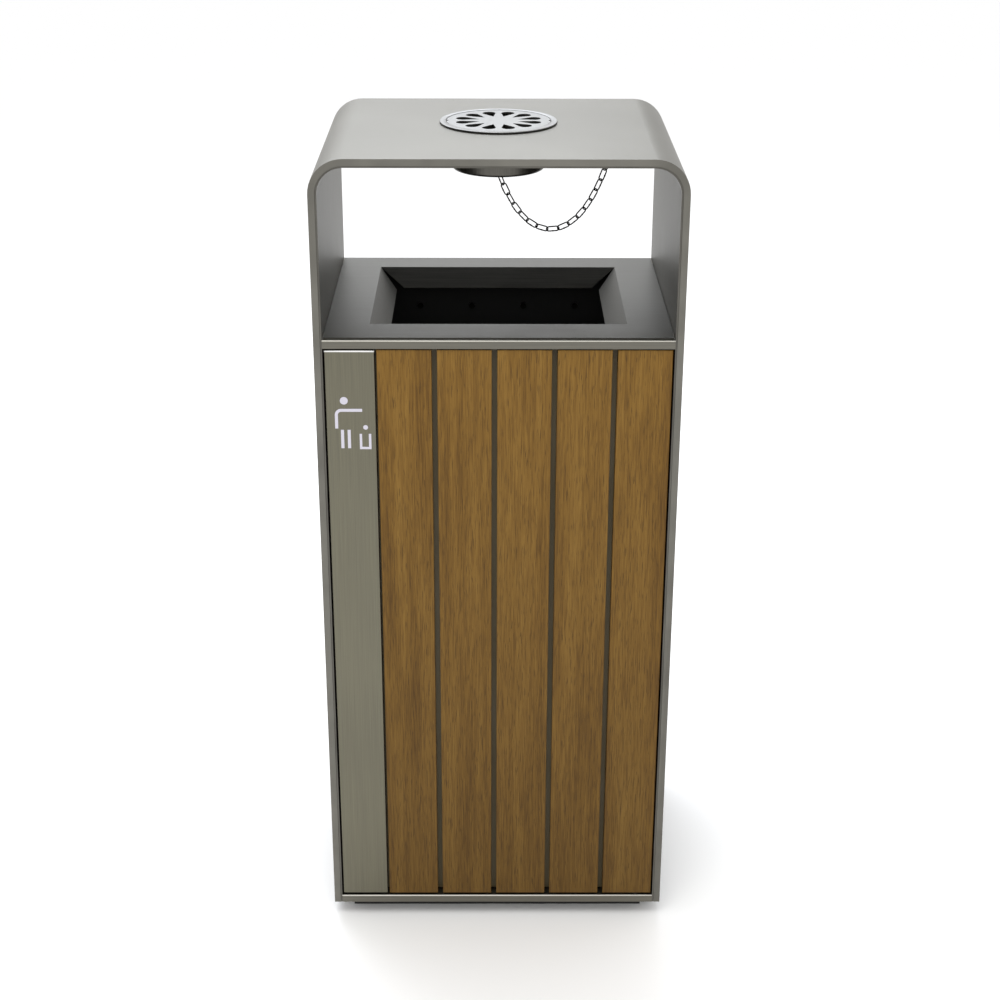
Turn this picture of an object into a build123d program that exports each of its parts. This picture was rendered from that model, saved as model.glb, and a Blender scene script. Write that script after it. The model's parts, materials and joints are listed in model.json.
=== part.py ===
from build123d import *
import os
from math import asinh, atanh, cos, radians, sinh, sqrt

# Litter bin with a hooded arch, a hinged slatted door, an inner liner and an ashtray.
# Millimetres. X runs to the right, -Y is the front, Z is up.
# The origin is on the ground, under the middle of the bin.

# ---- Overall size ----
WIDTH = 425.0                 # over the two side walls
DEPTH = 350.0                 # front edge to back edge of the arch
HEIGHT = 1000.0               # ground to the top of the canopy

# ---- Arch: two skins with a hollow between them ----
WALL = 10.0                   # over both skins
CORNER_RADIUS = 40.0          # outside, where a side turns into the canopy
SKIN = 2.0                    # sheet of each skin
SKIN_SEAM = 0.2               # open line between the outer skin's returns and the inner skin
EDGE_RADIUS = 2.5             # outer fold along the front and back edges
INNER_SKIN_SETBACK = 0.5      # inner skin's edge behind the folded edge

# ---- Plinth and floor ----
PLINTH_HEIGHT = 20.0
PLINTH_INSET = 23.5           # plinth behind the body, all round
PLINTH_SHEET = 3.0
FLOOR_SHEET = 2.0
ANCHOR_INSET_X = 39.0         # anchor holes from the plinth's sides
ANCHOR_INSET_Y = 41.5         # anchor holes from the plinth's front and back
ANCHOR_HOLE_RADIUS = 6.0
SPACER_WALL = 5.0

# ---- Rails ----
RAIL_HEIGHT = 10.0
RAIL_DEPTH = 30.0
RAIL_WALL = 1.5
RAIL_EDGE_RADIUS = 2.0
TRAY_RAIL_WIDTH = 15.0        # rails under the tray's sides

# ---- Tray with the throw-in opening ----
THROW_IN_HEIGHT = 209.0       # underside of the tray to the top of the canopy
TRAY_SHEET = 1.5
TRAY_SIDE_GAP = 1.5
TRAY_FRONT_SETBACK = 6.5
OPENING_SIDE_MARGIN = 50.0    # tray left beside the opening
OPENING_FRONT_MARGIN = 51.5
OPENING_BACK_MARGIN = 44.5
FLAP_LENGTH = 30.5
FLAP_ANGLE = 45.0             # below level

# ---- Slatted panels ----
PANEL_RECESS = 2.0            # slats behind the edge of the arch
SLAT_THICKNESS = 14.0
SLAT_GAP = 6.5
SLAT_EDGE_RADIUS = 1.0
SLAT_COUNT = 5
BACK_SLAT_COUNT = 6
BACKING_SHEET = 2.0
SLAT_END_GAP = 2.0            # slat tops under the top rail
SLAT_FOOT_GAP = 2.5           # slat feet over the bottom rail
SCREW_RADIUS = 2.0
SCREW_HEAD_RADIUS = 4.0
SCREW_HEAD_HEIGHT = 2.5
SCREW_BITE = 10.0             # screw length inside a slat
SCREW_PLAY = 0.1
SCREW_END_DISTANCE = 48.0     # first and last screw from the slat's ends

# ---- Door ----
DOOR_LEFT_GAP = 1.6
DOOR_RIGHT_GAP = 2.0
STRIP_WIDTH = 57.9
STRIP_GAP = 2.5               # between the steel strip and the first slat
STRIP_SHEET = 1.5
STRIP_TOP_STEP = 0.7          # strip below the slats' tops
DOOR_RETURN_DEPTH = 20.0      # folded edges of the door's backing
BACKING_END_STEP = 0.5        # backing past the slats' ends
STIFFENER_HEIGHT = 20.0
STIFFENER_DEPTH = 12.0
STIFFENER_END_DISTANCE = 208.0  # from the slats' ends

# ---- Hinge: two pins, fixed in the front rails ----
PIVOT_INSET = 20.0            # from the door's right edge
PIVOT_DEPTH = 7.0             # behind the slats' faces
PIN_RADIUS = 3.0
PIN_REACH = 25.0              # into the door
PIN_RUNNING_FIT = 0.08
BLOCK_WIDTH = 18.0
BLOCK_FRONT_DEPTH = 2.5       # wood left in front of a hinge block
BLOCK_HEIGHT = 30.0
BLOCK_PLAY = 0.3
WASHER_RADIUS = 7.0
REST_GAP = 0.3                # between moving pieces that rest on each other

# ---- Lock in the left wall ----
LOCK_DEPTH = 58.0             # behind the slats' faces
LOCK_ABOVE_MIDDLE = 14.0      # above the middle of the slats
BARREL_RADIUS = 9.0
BARREL_LENGTH = 22.5
PLUG_RADIUS = 6.0
PLUG_REACH = 2.0              # plug past the barrel, inside
KEY_SIDE = 7.0
KEY_DEPTH = 4.0
LOCK_NUT_SIZE = 24.0          # across flats
LOCK_NUT_HEIGHT = 4.0
CAM_LENGTH = 30.0
CAM_WIDTH = 12.0
CAM_THICKNESS = 3.0
CATCH_SHEET = 2.0
CATCH_HEIGHT = 30.0
CATCH_OVERLAP = 12.0          # catch lip behind the turned cam
CATCH_CLEARANCE = 1.5

# ---- Door stops on the left wall ----
STOP_END_DISTANCE = 100.0     # from the slats' ends
STOP_HEIGHT = 26.0
STOP_REACH = 20.0
STOP_SHEET = 2.0
BUFFER_RADIUS = 6.0

# ---- Liner ----
LINER_SIDE_CLEARANCE = 34.5   # to the side walls
LINER_FRONT_CLEARANCE = 27.0  # behind the front rails
LINER_BACK_CLEARANCE = 17.0   # before the rear rails
LINER_TOP_CLEARANCE = 91.0    # under the tray
LINER_SHEET = 1.5
LINER_CORNER_RADIUS = 20.0
LINER_RIM = 10.0
HAND_HOLE_WIDTH = 100.0
HAND_HOLE_HEIGHT = 30.0
HAND_HOLE_DROP = 25.0
GUIDE_HEIGHT = 20.0
GUIDE_SHEET = 2.0
GUIDE_GAP = 1.0
LINER_STOP_HEIGHT = 12.0

# ---- Ashtray in the canopy ----
ASHTRAY_X = 0.0
ASHTRAY_Y = 25.0
FLANGE_OVERLAP = 6.2          # flange past the edge of its seat
FLANGE_HEIGHT = 2.3
FLANGE_EDGE_RADIUS = 0.9
GRILLE_RADIUS = 62.5
GRILLE_THICKNESS = 2.5
GRILLE_PLAY = 0.3
LEDGE_WIDTH = 7.8             # under the grille's edge
POT_SHEET = 1.5
POT_DEPTH = 54.5              # below the top of the canopy
POT_CORNER_RADIUS = 4.0
COLLAR_SHEET = 1.5
COLLAR_PLAY = 0.7
SLOT_COUNT = 12
SLOT_INNER = 23.5
SLOT_RIM = 10.1               # plate left outside the slots
SLOT_END_RADIUS = 8.0
NOTCH_RADIUS = 2.5

# ---- Chain from the pot to the canopy ----
WIRE_RADIUS = 0.85
EYE_RADIUS = 4.0              # to the middle of the wire
EYE_SHANK_RADIUS = 1.5
EYE_NUT_SIZE = 5.5
EYE_NUT_HEIGHT = 2.4
EYE_SLACK = 0.9               # between an eye and the link that hangs in it
EYE_TURN = 25.0               # eyes turned towards their end links
CHAIN_ANCHOR_INSET = 61.5     # from the right wall
LINK_INNER_LENGTH = 13.8
LINK_WIDTH = 7.6
LINK_SLACK = 0.3
LINK_TURN = 45.0              # each link about the chain's line, one way and then the other
LINK_TWIST = 25.0             # more turn at the pot's end of the chain
LINK_COUNT = 18

# ---- Symbol on the steel strip ----
SYMBOL_THICKNESS = 0.3
SYMBOL_BAR = 3.6
SYMBOL_THIN_BAR = 2.9
SYMBOL_DROP = 91.0            # the symbol's middle under the slats' tops

# ---- Places that follow from the sizes above ----
HALF_WIDTH = WIDTH / 2
INSIDE = HALF_WIDTH - WALL                      # inner face of a side wall
TRAY_LEVEL = HEIGHT - THROW_IN_HEIGHT
FLOOR_LEVEL = PLINTH_HEIGHT + FLOOR_SHEET
BOTTOM_RAIL_TOP = PLINTH_HEIGHT + RAIL_HEIGHT
TOP_RAIL_BOTTOM = TRAY_LEVEL - RAIL_HEIGHT
RAIL_BACK = DEPTH / 2 - RAIL_DEPTH              # rails' inner faces, from the middle
SLAT_FACE = DEPTH / 2 - PANEL_RECESS            # slat faces, from the middle
BACKING_FACE = SLAT_FACE - SLAT_THICKNESS
BACKING_REAR = BACKING_FACE - BACKING_SHEET
SLAT_BOTTOM = BOTTOM_RAIL_TOP + SLAT_FOOT_GAP
SLAT_TOP = TOP_RAIL_BOTTOM - SLAT_END_GAP
DOOR_LEFT = -INSIDE + DOOR_LEFT_GAP
STRIP_RIGHT = DOOR_LEFT + STRIP_WIDTH
FIRST_SLAT = STRIP_RIGHT + STRIP_GAP
DOOR_RIGHT = INSIDE - DOOR_RIGHT_GAP
SLAT_WIDTH = (DOOR_RIGHT - FIRST_SLAT - (SLAT_COUNT - 1) * SLAT_GAP) / SLAT_COUNT
SLAT_MIDDLE = (SLAT_BOTTOM + SLAT_TOP) / 2
PIVOT_X = DOOR_RIGHT - PIVOT_INSET
PIVOT_Y = -SLAT_FACE + PIVOT_DEPTH
LOCK_Y = -SLAT_FACE + LOCK_DEPTH
LOCK_Z = SLAT_MIDDLE + LOCK_ABOVE_MIDDLE
BARREL_END = -HALF_WIDTH + BARREL_LENGTH
CAM_X = BARREL_END + PLUG_REACH
LINER_WIDTH = 2 * (INSIDE - LINER_SIDE_CLEARANCE)
LINER_FRONT = -RAIL_BACK + LINER_FRONT_CLEARANCE
LINER_BACK = RAIL_BACK - LINER_BACK_CLEARANCE
LINER_DEPTH = LINER_BACK - LINER_FRONT
LINER_CENTRE_Y = (LINER_FRONT + LINER_BACK) / 2
LINER_BOTTOM = FLOOR_LEVEL + REST_GAP
LINER_TOP = TRAY_LEVEL - LINER_TOP_CLEARANCE
LEDGE_RADIUS = GRILLE_RADIUS + GRILLE_PLAY      # recess that the grille lies in
SEAT_RADIUS = LEDGE_RADIUS + POT_SHEET
FLANGE_RADIUS = SEAT_RADIUS + FLANGE_OVERLAP
POT_RADIUS = LEDGE_RADIUS - LEDGE_WIDTH + POT_SHEET
COLLAR_RADIUS = SEAT_RADIUS + COLLAR_PLAY
GRILLE_TOP = HEIGHT + REST_GAP + FLANGE_HEIGHT - GRILLE_PLAY
LEDGE_TOP = GRILLE_TOP - GRILLE_THICKNESS - REST_GAP
POT_BOTTOM = HEIGHT - POT_DEPTH
CANOPY_UNDERSIDE = HEIGHT - WALL
CHAIN_ANCHOR_X = INSIDE - CHAIN_ANCHOR_INSET


def block(x, y, z):
    """A box given by its two ends along each axis."""
    size = [abs(ends[1] - ends[0]) for ends in (x, y, z)]
    return Pos(sum(x) / 2, sum(y) / 2, sum(z) / 2) * Box(*size)


def post(x, y, z, radius):
    """An upright cylinder between two levels."""
    return Pos(x, y, sum(z) / 2) * Cylinder(radius, abs(z[1] - z[0]))


def rod_x(x, y, z, radius):
    """A cylinder along X between two places."""
    return Pos(sum(x) / 2, y, z) * Rot(0, 90, 0) * Cylinder(radius, abs(x[1] - x[0]))


def rod_y(x, y, z, radius):
    """A cylinder along Y between two places."""
    return Pos(x, sum(y) / 2, z) * Rot(90, 0, 0) * Cylinder(radius, abs(y[1] - y[0]))


def group(solids):
    """Separate solids that share one node."""
    return Compound(children=list(solids))


# ---- Arch ----

def arch_block(inset, half_depth, bottom):
    """The arch's outline as a full block, moved in by inset, with rounded top corners."""
    half = HALF_WIDTH - inset
    body = block((-half, half), (-half_depth, half_depth), (bottom, HEIGHT - inset))
    corners = body.edges().filter_by(Axis.Y).group_by(Axis.Z)[-1]
    return fillet(corners, CORNER_RADIUS - inset)


def arch_outer_skin():
    body = arch_block(0, DEPTH / 2, PLINTH_HEIGHT)
    for face in (body.faces().sort_by(Axis.Y)[0], body.faces().sort_by(Axis.Y)[-1]):
        folded = face.edges().sort_by(Axis.Z)[1:]
        body = fillet(folded, EDGE_RADIUS)
    body -= arch_block(WALL - SKIN - SKIN_SEAM, DEPTH, 0)
    body -= arch_block(SKIN, DEPTH / 2 - SKIN, PLINTH_HEIGHT + SKIN)
    body -= post(ASHTRAY_X, ASHTRAY_Y, (CANOPY_UNDERSIDE, HEIGHT + 1), COLLAR_RADIUS)
    return body - lock_hole()


def arch_inner_skin():
    body = arch_block(WALL - SKIN, DEPTH / 2 - INNER_SKIN_SETBACK, PLINTH_HEIGHT)
    body -= arch_block(WALL, DEPTH, 0)
    body -= post(ASHTRAY_X, ASHTRAY_Y, (CANOPY_UNDERSIDE - 1, HEIGHT), COLLAR_RADIUS)
    shank_hole = EYE_SHANK_RADIUS + SCREW_PLAY
    body -= post(CHAIN_ANCHOR_X, ASHTRAY_Y, (CANOPY_UNDERSIDE - 1, HEIGHT), shank_hole)
    return body - lock_hole()


def lock_hole():
    return rod_x((-HALF_WIDTH - 1, -INSIDE + 1), LOCK_Y, LOCK_Z, BARREL_RADIUS + SCREW_PLAY)


def ashtray_collar():
    """Tube that lines the ashtray's hole, between the two skins of the canopy."""
    levels = (CANOPY_UNDERSIDE + SKIN, HEIGHT - SKIN)
    outside = post(ASHTRAY_X, ASHTRAY_Y, levels, COLLAR_RADIUS + COLLAR_SHEET)
    return outside - post(ASHTRAY_X, ASHTRAY_Y, levels, COLLAR_RADIUS)


# ---- Plinth, floor and rails ----

def anchor_places():
    x = HALF_WIDTH - PLINTH_INSET - ANCHOR_INSET_X
    y = DEPTH / 2 - PLINTH_INSET - ANCHOR_INSET_Y
    return [(-x, -y), (-x, y), (x, -y), (x, y)]


def plinth():
    """Upturned pan that the body stands on, with the four anchor holes."""
    half_x = HALF_WIDTH - PLINTH_INSET
    half_y = DEPTH / 2 - PLINTH_INSET
    body = block((-half_x, half_x), (-half_y, half_y), (0, PLINTH_HEIGHT))
    inner_x = half_x - PLINTH_SHEET
    inner_y = half_y - PLINTH_SHEET
    body -= block((-inner_x, inner_x), (-inner_y, inner_y), (-1, PLINTH_HEIGHT - PLINTH_SHEET))
    for x, y in anchor_places():
        body -= post(x, y, (0, PLINTH_HEIGHT + 1), ANCHOR_HOLE_RADIUS)
    return body


def anchor_spacers():
    """Tubes round the anchor bolts, so that a tight bolt doesn't bend the plinth."""
    levels = (0, PLINTH_HEIGHT - PLINTH_SHEET)
    tubes = []
    for x, y in anchor_places():
        tube = post(x, y, levels, ANCHOR_HOLE_RADIUS + SPACER_WALL)
        tubes.append(tube - post(x, y, levels, ANCHOR_HOLE_RADIUS))
    return group(tubes)


def floor_pan():
    """Pan between the bottom rails and the side walls, with upturned edges."""
    body = block((-INSIDE, INSIDE), (-RAIL_BACK, RAIL_BACK), (PLINTH_HEIGHT, BOTTOM_RAIL_TOP))
    inner_x = INSIDE - FLOOR_SHEET
    inner_y = RAIL_BACK - FLOOR_SHEET
    body -= block((-inner_x, inner_x), (-inner_y, inner_y), (FLOOR_LEVEL, BOTTOM_RAIL_TOP + 1))
    for x, y in anchor_places():
        body -= post(x, y, (PLINTH_HEIGHT - 1, FLOOR_LEVEL + 1), ANCHOR_HOLE_RADIUS)
    return body


def cross_rail(side, bottom):
    """Tube between the side walls. Side is -1 at the front and 1 at the back."""
    outer = side * DEPTH / 2
    inner = side * RAIL_BACK
    body = block((-INSIDE, INSIDE), (outer, inner), (bottom, bottom + RAIL_HEIGHT))
    edges = body.edges().filter_by(Axis.X).group_by(Axis.Z)[-1].sort_by(Axis.Y)
    shown_edge = edges[0] if side < 0 else edges[-1]
    body = fillet(shown_edge, RAIL_EDGE_RADIUS)
    hollow_y = (outer - side * RAIL_WALL, inner + side * RAIL_WALL)
    hollow_z = (bottom + RAIL_WALL, bottom + RAIL_HEIGHT - RAIL_WALL)
    return body - block((-WIDTH, WIDTH), hollow_y, hollow_z)


def front_rail(bottom):
    """A front rail, with the hole that holds a hinge pin."""
    hole = post(PIVOT_X, PIVOT_Y, (bottom - 1, bottom + RAIL_HEIGHT + 1), PIN_RADIUS + SCREW_PLAY)
    return cross_rail(-1, bottom) - hole


def tray_rail(side):
    """Tube along a side wall, between the top rails, under the tray's side."""
    outer = side * INSIDE
    inner = side * (INSIDE - TRAY_RAIL_WIDTH)
    body = block((outer, inner), (-RAIL_BACK, RAIL_BACK), (TOP_RAIL_BOTTOM, TRAY_LEVEL))
    hollow_x = (outer - side * RAIL_WALL, inner + side * RAIL_WALL)
    hollow_z = (TOP_RAIL_BOTTOM + RAIL_WALL, TRAY_LEVEL - RAIL_WALL)
    return body - block(hollow_x, (-DEPTH, DEPTH), hollow_z)


# ---- Tray ----

def tray_flap(centre, along, inward, width):
    """A flap folded down from the opening's edge, with its ends cut at 45 degrees."""
    slope = radians(FLAP_ANGLE)
    down = Vector(*inward) * cos(slope) + Vector(0, 0, -1) * cos(radians(90) - slope)
    plane = Plane(origin=centre, x_dir=along, z_dir=Vector(*along).cross(down))
    outline = Polyline((-width / 2, 0), (width / 2, 0), (width / 2 - FLAP_LENGTH, FLAP_LENGTH),
                       (-width / 2 + FLAP_LENGTH, FLAP_LENGTH), close=True)
    return extrude(plane * make_face(outline), -TRAY_SHEET)


def tray_panel():
    """The sheet on the top rails, with the throw-in opening and its four flaps."""
    half_x = INSIDE - TRAY_SIDE_GAP
    half_y = DEPTH / 2 - TRAY_FRONT_SETBACK
    top = TRAY_LEVEL + TRAY_SHEET
    side = half_x - OPENING_SIDE_MARGIN
    near = -half_y + OPENING_FRONT_MARGIN
    far = half_y - OPENING_BACK_MARGIN
    body = block((-half_x, half_x), (-half_y, half_y), (TRAY_LEVEL, top))
    body -= block((-side, side), (near, far), (TRAY_LEVEL - 1, top + 1))
    middle = (near + far) / 2
    body += tray_flap((0, near, top), (1, 0, 0), (0, 1, 0), 2 * side)
    body += tray_flap((0, far, top), (-1, 0, 0), (0, -1, 0), 2 * side)
    body += tray_flap((-side, middle, top), (0, -1, 0), (1, 0, 0), far - near)
    body += tray_flap((side, middle, top), (0, 1, 0), (-1, 0, 0), far - near)
    return body


# ---- Slats, shared by the door and the back. Side is -1 at the front and 1 at the back ----

def screw_levels():
    return (SLAT_BOTTOM + SCREW_END_DISTANCE, SLAT_MIDDLE, SLAT_TOP - SCREW_END_DISTANCE)


def slat(left, width, side):
    """One wooden slat, with rounded long edges and its screw holes."""
    body = block((left, left + width), (side * SLAT_FACE, side * BACKING_FACE), (SLAT_BOTTOM, SLAT_TOP))
    shown_face = body.faces().sort_by(Axis.Y)[-1 if side > 0 else 0]
    body = fillet(shown_face.edges(), SLAT_EDGE_RADIUS)
    for level in screw_levels():
        bite = (side * (BACKING_FACE - 1), side * (BACKING_FACE + SCREW_BITE + SCREW_PLAY))
        body -= rod_y(left + width / 2, bite, level, SCREW_RADIUS + SCREW_PLAY)
    return body


def slat_screws(middles, side):
    """Screws from inside, through the backing sheet and into every slat."""
    screws = []
    for x in middles:
        for level in screw_levels():
            shank = rod_y(x, (side * BACKING_REAR, side * (BACKING_FACE + SCREW_BITE)), level, SCREW_RADIUS)
            head_end = side * (BACKING_REAR - SCREW_HEAD_HEIGHT)
            head = rod_y(x, (head_end, side * BACKING_REAR), level, SCREW_HEAD_RADIUS)
            screws.append(head + shank)
    return group(screws)


def screw_holes(middles, side):
    """Cutters for the screw holes through a backing sheet."""
    ends = (side * (BACKING_REAR - 1), side * (BACKING_FACE + 1))
    return [rod_y(x, ends, level, SCREW_RADIUS + SCREW_PLAY) for x in middles for level in screw_levels()]


def back_slat_width():
    """The back's slats fill the width between the side walls, with the same gaps as the door's."""
    clear = 2 * (INSIDE - DOOR_RIGHT_GAP)
    return (clear - (BACK_SLAT_COUNT - 1) * SLAT_GAP) / BACK_SLAT_COUNT


def back_slat_left(index):
    return -INSIDE + DOOR_RIGHT_GAP + index * (back_slat_width() + SLAT_GAP)


def back_slat_middles():
    return [back_slat_left(index) + back_slat_width() / 2 for index in range(BACK_SLAT_COUNT)]


def back_panel():
    body = block((-INSIDE, INSIDE), (BACKING_REAR, BACKING_FACE), (BOTTOM_RAIL_TOP, TOP_RAIL_BOTTOM))
    return body - screw_holes(back_slat_middles(), 1)


# ---- Door ----

def door_slat_left(index):
    return FIRST_SLAT + index * (SLAT_WIDTH + SLAT_GAP)


def door_slat_middles():
    return [door_slat_left(index) + SLAT_WIDTH / 2 for index in range(SLAT_COUNT)]


def door_backing():
    """Sheet behind the slats, with all four edges folded inwards."""
    ends_z = (SLAT_BOTTOM - BACKING_END_STEP, SLAT_TOP + BACKING_END_STEP)
    tips = -BACKING_FACE + DOOR_RETURN_DEPTH
    body = block((DOOR_LEFT, DOOR_RIGHT), (-BACKING_FACE, tips), ends_z)
    inner_x = (DOOR_LEFT + BACKING_SHEET, DOOR_RIGHT - BACKING_SHEET)
    inner_z = (ends_z[0] + BACKING_SHEET, ends_z[1] - BACKING_SHEET)
    body -= block(inner_x, (-BACKING_REAR, tips + 1), inner_z)
    return body - screw_holes(door_slat_middles(), -1)


def door_strip():
    """Folded steel strip at the door's left, open towards the backing."""
    top = SLAT_TOP - STRIP_TOP_STEP
    body = block((DOOR_LEFT, STRIP_RIGHT), (-SLAT_FACE, -BACKING_FACE), (SLAT_BOTTOM, top))
    body = fillet(body.faces().sort_by(Axis.Y)[0].edges(), STRIP_SHEET)
    hollow_x = (DOOR_LEFT + STRIP_SHEET, STRIP_RIGHT - STRIP_SHEET)
    hollow_y = (-SLAT_FACE + STRIP_SHEET, -BACKING_FACE + 1)
    return body - block(hollow_x, hollow_y, (SLAT_BOTTOM + STRIP_SHEET, top - STRIP_SHEET))


def door_stiffeners():
    """Channels across the back of the door."""
    half_channel = STIFFENER_HEIGHT / 2
    ends_x = (DOOR_LEFT + BACKING_SHEET, DOOR_RIGHT - BACKING_SHEET)
    ends_y = (-BACKING_REAR, -BACKING_REAR + STIFFENER_DEPTH)
    channels = []
    for level in (SLAT_BOTTOM + STIFFENER_END_DISTANCE, SLAT_TOP - STIFFENER_END_DISTANCE):
        channel = block(ends_x, ends_y, (level - half_channel, level + half_channel))
        hollow_z = (level - half_channel + BACKING_SHEET, level + half_channel - BACKING_SHEET)
        channels.append(channel - block(ends_x, (-BACKING_REAR, ends_y[1] - BACKING_SHEET), hollow_z))
    return group(channels)


def block_levels():
    """The hinge blocks' ends, at the slat's foot and at its top."""
    return [(SLAT_BOTTOM, SLAT_BOTTOM + BLOCK_HEIGHT), (SLAT_TOP - BLOCK_HEIGHT, SLAT_TOP)]


def hinge_slat():
    """The door's last slat, with a rebate behind each end for a hinge block."""
    body = slat(door_slat_left(SLAT_COUNT - 1), SLAT_WIDTH, -1)
    half = BLOCK_WIDTH / 2 + BLOCK_PLAY
    ends_x = (PIVOT_X - half, PIVOT_X + half)
    ends_y = (-SLAT_FACE + BLOCK_FRONT_DEPTH - BLOCK_PLAY, -BACKING_FACE + 1)
    for low, high in block_levels():
        body -= block(ends_x, ends_y, (low - BLOCK_PLAY, high + BLOCK_PLAY))
    return body


def hinge_blocks():
    """Blocks on the door's backing that turn on the pins."""
    blocks = []
    ends_x = (PIVOT_X - BLOCK_WIDTH / 2, PIVOT_X + BLOCK_WIDTH / 2)
    ends_y = (-SLAT_FACE + BLOCK_FRONT_DEPTH, -BACKING_FACE)
    for low, high in block_levels():
        bore = post(PIVOT_X, PIVOT_Y, (low - 1, high + 1), PIN_RADIUS + PIN_RUNNING_FIT)
        blocks.append(block(ends_x, ends_y, (low, high)) - bore)
    return group(blocks)


def hinge_pins():
    """Pins that stand in the front rails and reach into the hinge blocks."""
    lower = post(PIVOT_X, PIVOT_Y, (PLINTH_HEIGHT, SLAT_BOTTOM + PIN_REACH), PIN_RADIUS)
    upper = post(PIVOT_X, PIVOT_Y, (SLAT_TOP - PIN_REACH, TRAY_LEVEL), PIN_RADIUS)
    return group([lower, upper])


def hinge_washer():
    """Washer under the lower hinge block, which carries the door's weight."""
    levels = (BOTTOM_RAIL_TOP, SLAT_BOTTOM - REST_GAP)
    washer = post(PIVOT_X, PIVOT_Y, levels, WASHER_RADIUS)
    return washer - post(PIVOT_X, PIVOT_Y, levels, PIN_RADIUS + SCREW_PLAY)


def door_catch():
    """Bracket on the door, whose lip reaches behind the lock's cam."""
    top = LOCK_Z - CAM_LENGTH + CATCH_OVERLAP
    levels = (top - CATCH_HEIGHT, top)
    lip_front = LOCK_Y + CAM_WIDTH / 2 + CATCH_CLEARANCE
    arm_x = CAM_X + CAM_LENGTH / 2 - CATCH_SHEET
    lip_x = (CAM_X - CAM_THICKNESS, arm_x + CATCH_SHEET)
    arm = block((arm_x, arm_x + CATCH_SHEET), (-BACKING_REAR, lip_front + CATCH_SHEET), levels)
    lip = block(lip_x, (lip_front, lip_front + CATCH_SHEET), levels)
    foot = block((arm_x, arm_x + CATCH_HEIGHT), (-BACKING_REAR, -BACKING_REAR + CATCH_SHEET), levels)
    return arm + lip + foot


def bin_symbol():
    """A person dropping litter in a bin, as thin plates on the steel strip."""
    bar = SYMBOL_BAR
    thin = SYMBOL_THIN_BAR
    bend = RectangleRounded(64, 64, bar * 2.1) - Pos(bar, -bar) * RectangleRounded(64, 64, bar * 1.1)
    arm = Pos(13.4, -12.8) * (bend & (Pos(-16, 19.8) * Rectangle(32, 24.4)))
    legs = [Pos(x, -18.4) * Rectangle(bar, 23) for x in (-10.3, -2.5)]
    bucket = Pos(16.4, -21.5) * (Rectangle(13.6, 19.2) - Pos(0, thin) * Rectangle(13.6 - 2 * thin, 19.2))
    head = Pos(-7.6, 29.2) * Circle(4.6)
    litter = Pos(16.9, -3.8) * Circle(2.8)
    shapes = [head, arm, *legs, bucket, litter]
    middle = ((DOOR_LEFT + STRIP_RIGHT) / 2, -SLAT_FACE, SLAT_TOP - SYMBOL_DROP)
    plane = Plane(origin=middle, x_dir=(1, 0, 0), z_dir=(0, -1, 0))
    return group(extrude(plane * shape, SYMBOL_THICKNESS) for shape in shapes)


# ---- Lock and door stops ----

def lock_barrel():
    body = rod_x((-HALF_WIDTH, BARREL_END), LOCK_Y, LOCK_Z, BARREL_RADIUS)
    return body - rod_x((-WIDTH, WIDTH), LOCK_Y, LOCK_Z, PLUG_RADIUS + PIN_RUNNING_FIT)


def lock_nut():
    """Nut that holds the barrel from inside."""
    plane = Plane(origin=(-INSIDE, LOCK_Y, LOCK_Z), z_dir=(1, 0, 0))
    hexagon = RegularPolygon(LOCK_NUT_SIZE / 2, 6, major_radius=False) - Circle(BARREL_RADIUS + SCREW_PLAY)
    return extrude(plane * hexagon, LOCK_NUT_HEIGHT)


def lock_plug():
    """The turning plug, with a three-sided key socket."""
    body = rod_x((-HALF_WIDTH + REST_GAP, CAM_X), LOCK_Y, LOCK_Z, PLUG_RADIUS)
    plane = Plane(origin=(-HALF_WIDTH, LOCK_Y, LOCK_Z), z_dir=(1, 0, 0))
    return body - extrude(plane * RegularPolygon(KEY_SIDE / 2, 3), KEY_DEPTH)


def lock_cam():
    """Tongue on the plug's inner end. It points to the front while the door is free."""
    plane = Plane(origin=(CAM_X, LOCK_Y, LOCK_Z), x_dir=(0, -1, 0), z_dir=(1, 0, 0))
    reach = CAM_LENGTH - CAM_WIDTH / 2
    outline = Pos(reach / 2, 0) * SlotCenterToCenter(reach, CAM_WIDTH)
    return extrude(plane * outline, CAM_THICKNESS)


def lock_cam_screw():
    return rod_x((CAM_X + CAM_THICKNESS, CAM_X + CAM_THICKNESS + SCREW_HEAD_HEIGHT), LOCK_Y, LOCK_Z,
                 SCREW_HEAD_RADIUS)


def stop_levels():
    return (SLAT_BOTTOM + STOP_END_DISTANCE, SLAT_TOP - STOP_END_DISTANCE)


def stop_face():
    """Front of the stop plates, just behind the tips of the door's folded edges."""
    return -BACKING_FACE + DOOR_RETURN_DEPTH + REST_GAP


def door_stops():
    """Plates on the left wall that carry the buffers."""
    depth_y = (stop_face(), stop_face() + STOP_SHEET)
    half = STOP_HEIGHT / 2
    return group(block((-INSIDE, -INSIDE + STOP_REACH), depth_y, (level - half, level + half))
                 for level in stop_levels())


def door_buffers():
    """Rubber buffers that the closed door rests on."""
    middle = -INSIDE + STOP_REACH - BUFFER_RADIUS
    ends_y = (-BACKING_REAR + REST_GAP, stop_face())
    return group(rod_y(middle, ends_y, level, BUFFER_RADIUS) for level in stop_levels())


# ---- Liner ----

def liner_outline(grow):
    """The liner's rounded outline, moved out by grow."""
    radius = LINER_CORNER_RADIUS + grow
    return RectangleRounded(LINER_WIDTH + 2 * grow, LINER_DEPTH + 2 * grow, radius)


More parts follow.
